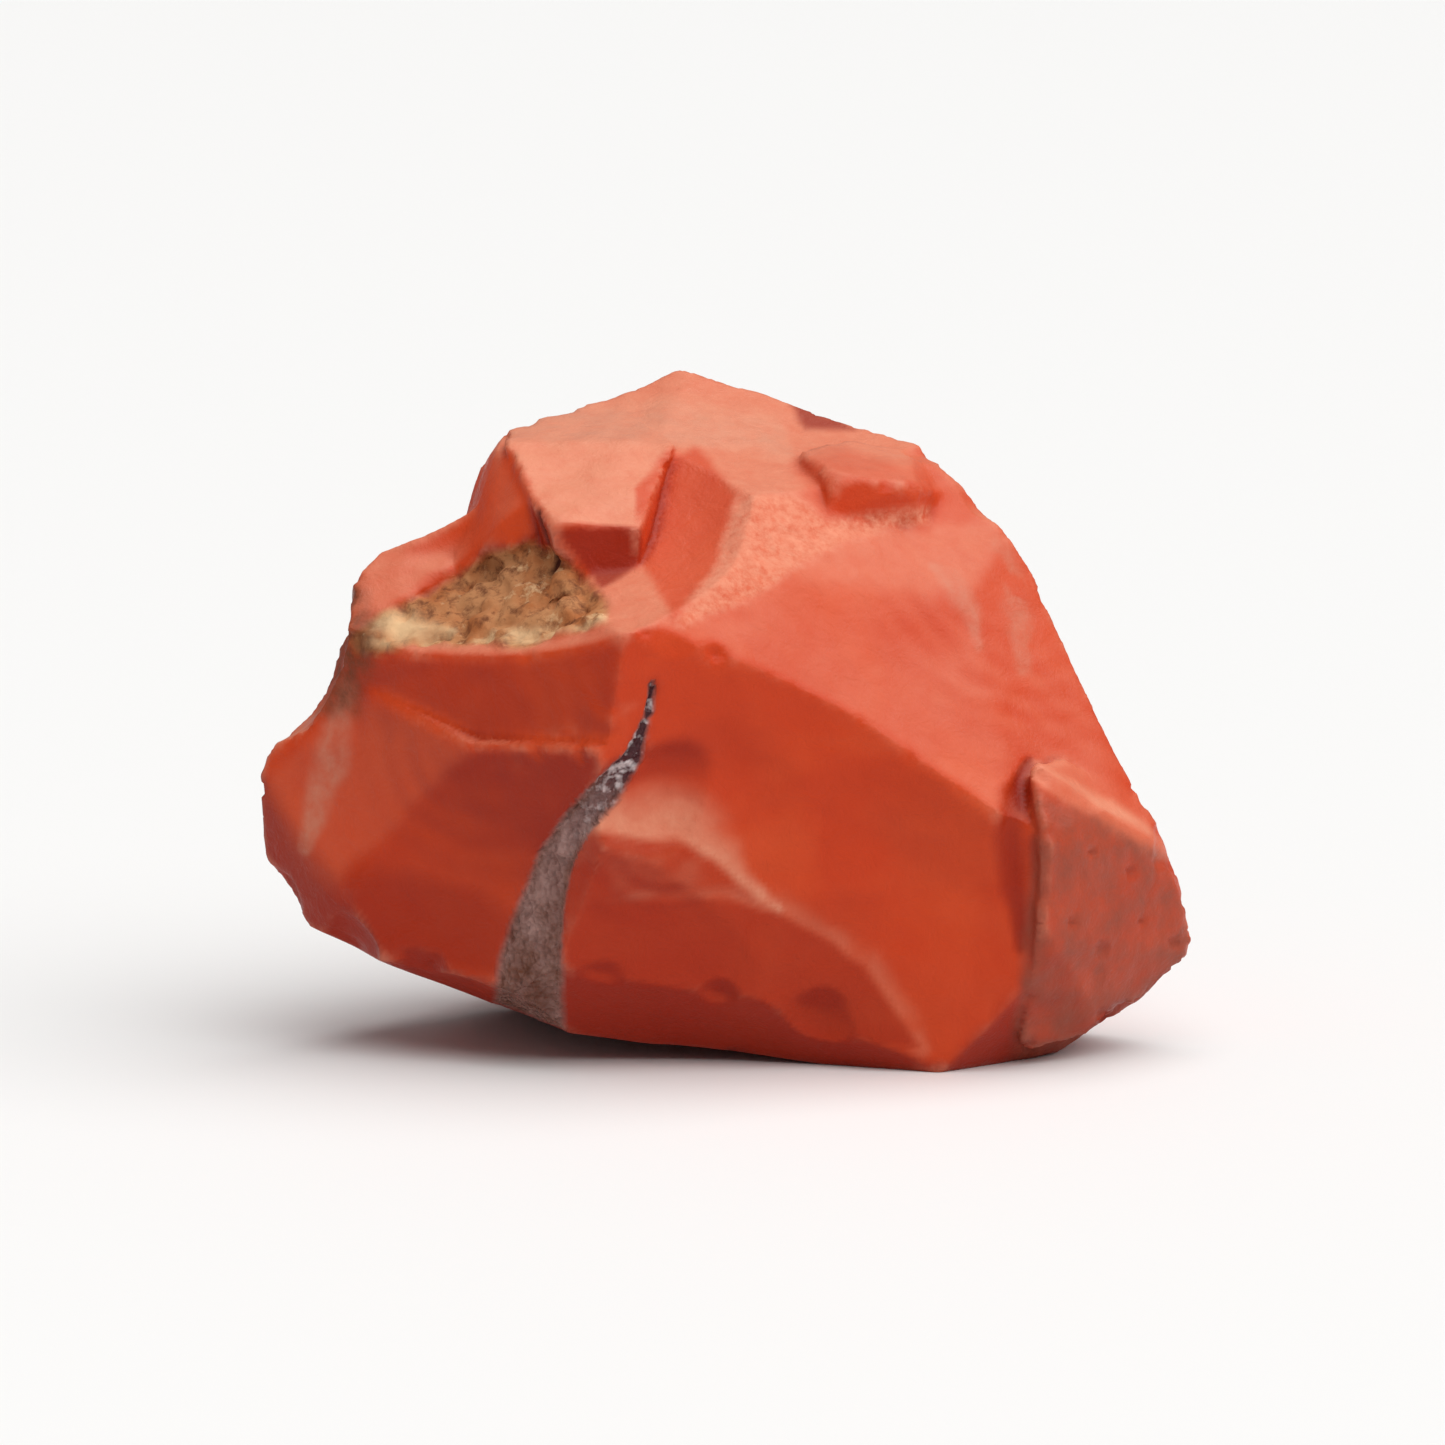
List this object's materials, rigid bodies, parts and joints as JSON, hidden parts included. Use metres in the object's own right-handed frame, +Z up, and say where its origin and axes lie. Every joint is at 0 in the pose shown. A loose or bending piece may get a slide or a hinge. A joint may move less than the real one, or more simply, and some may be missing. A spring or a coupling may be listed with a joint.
{
  "type": "rough red jasper",
  "caption": "Rough chunk of red jasper with hollow fracture faces, sharp ridges, a tan matrix pocket and a grey quartz vein, resting on a flat base.",
  "frame": {"origin": "middle of the bounding box, at the height of the base that the chunk rests on", "axes": "+Z up, +X along the chunk's longest side, -Y towards the side that the picture shows"},
  "size_m": [0.061, 0.0396, 0.0437],
  "materials": {
    "jasper": "waxy broken stone, matt in the matrix pocket"
  },
  "bodies": {
    "root": {"jasper_chunk": "jasper"}
  },
  "joints": []
}
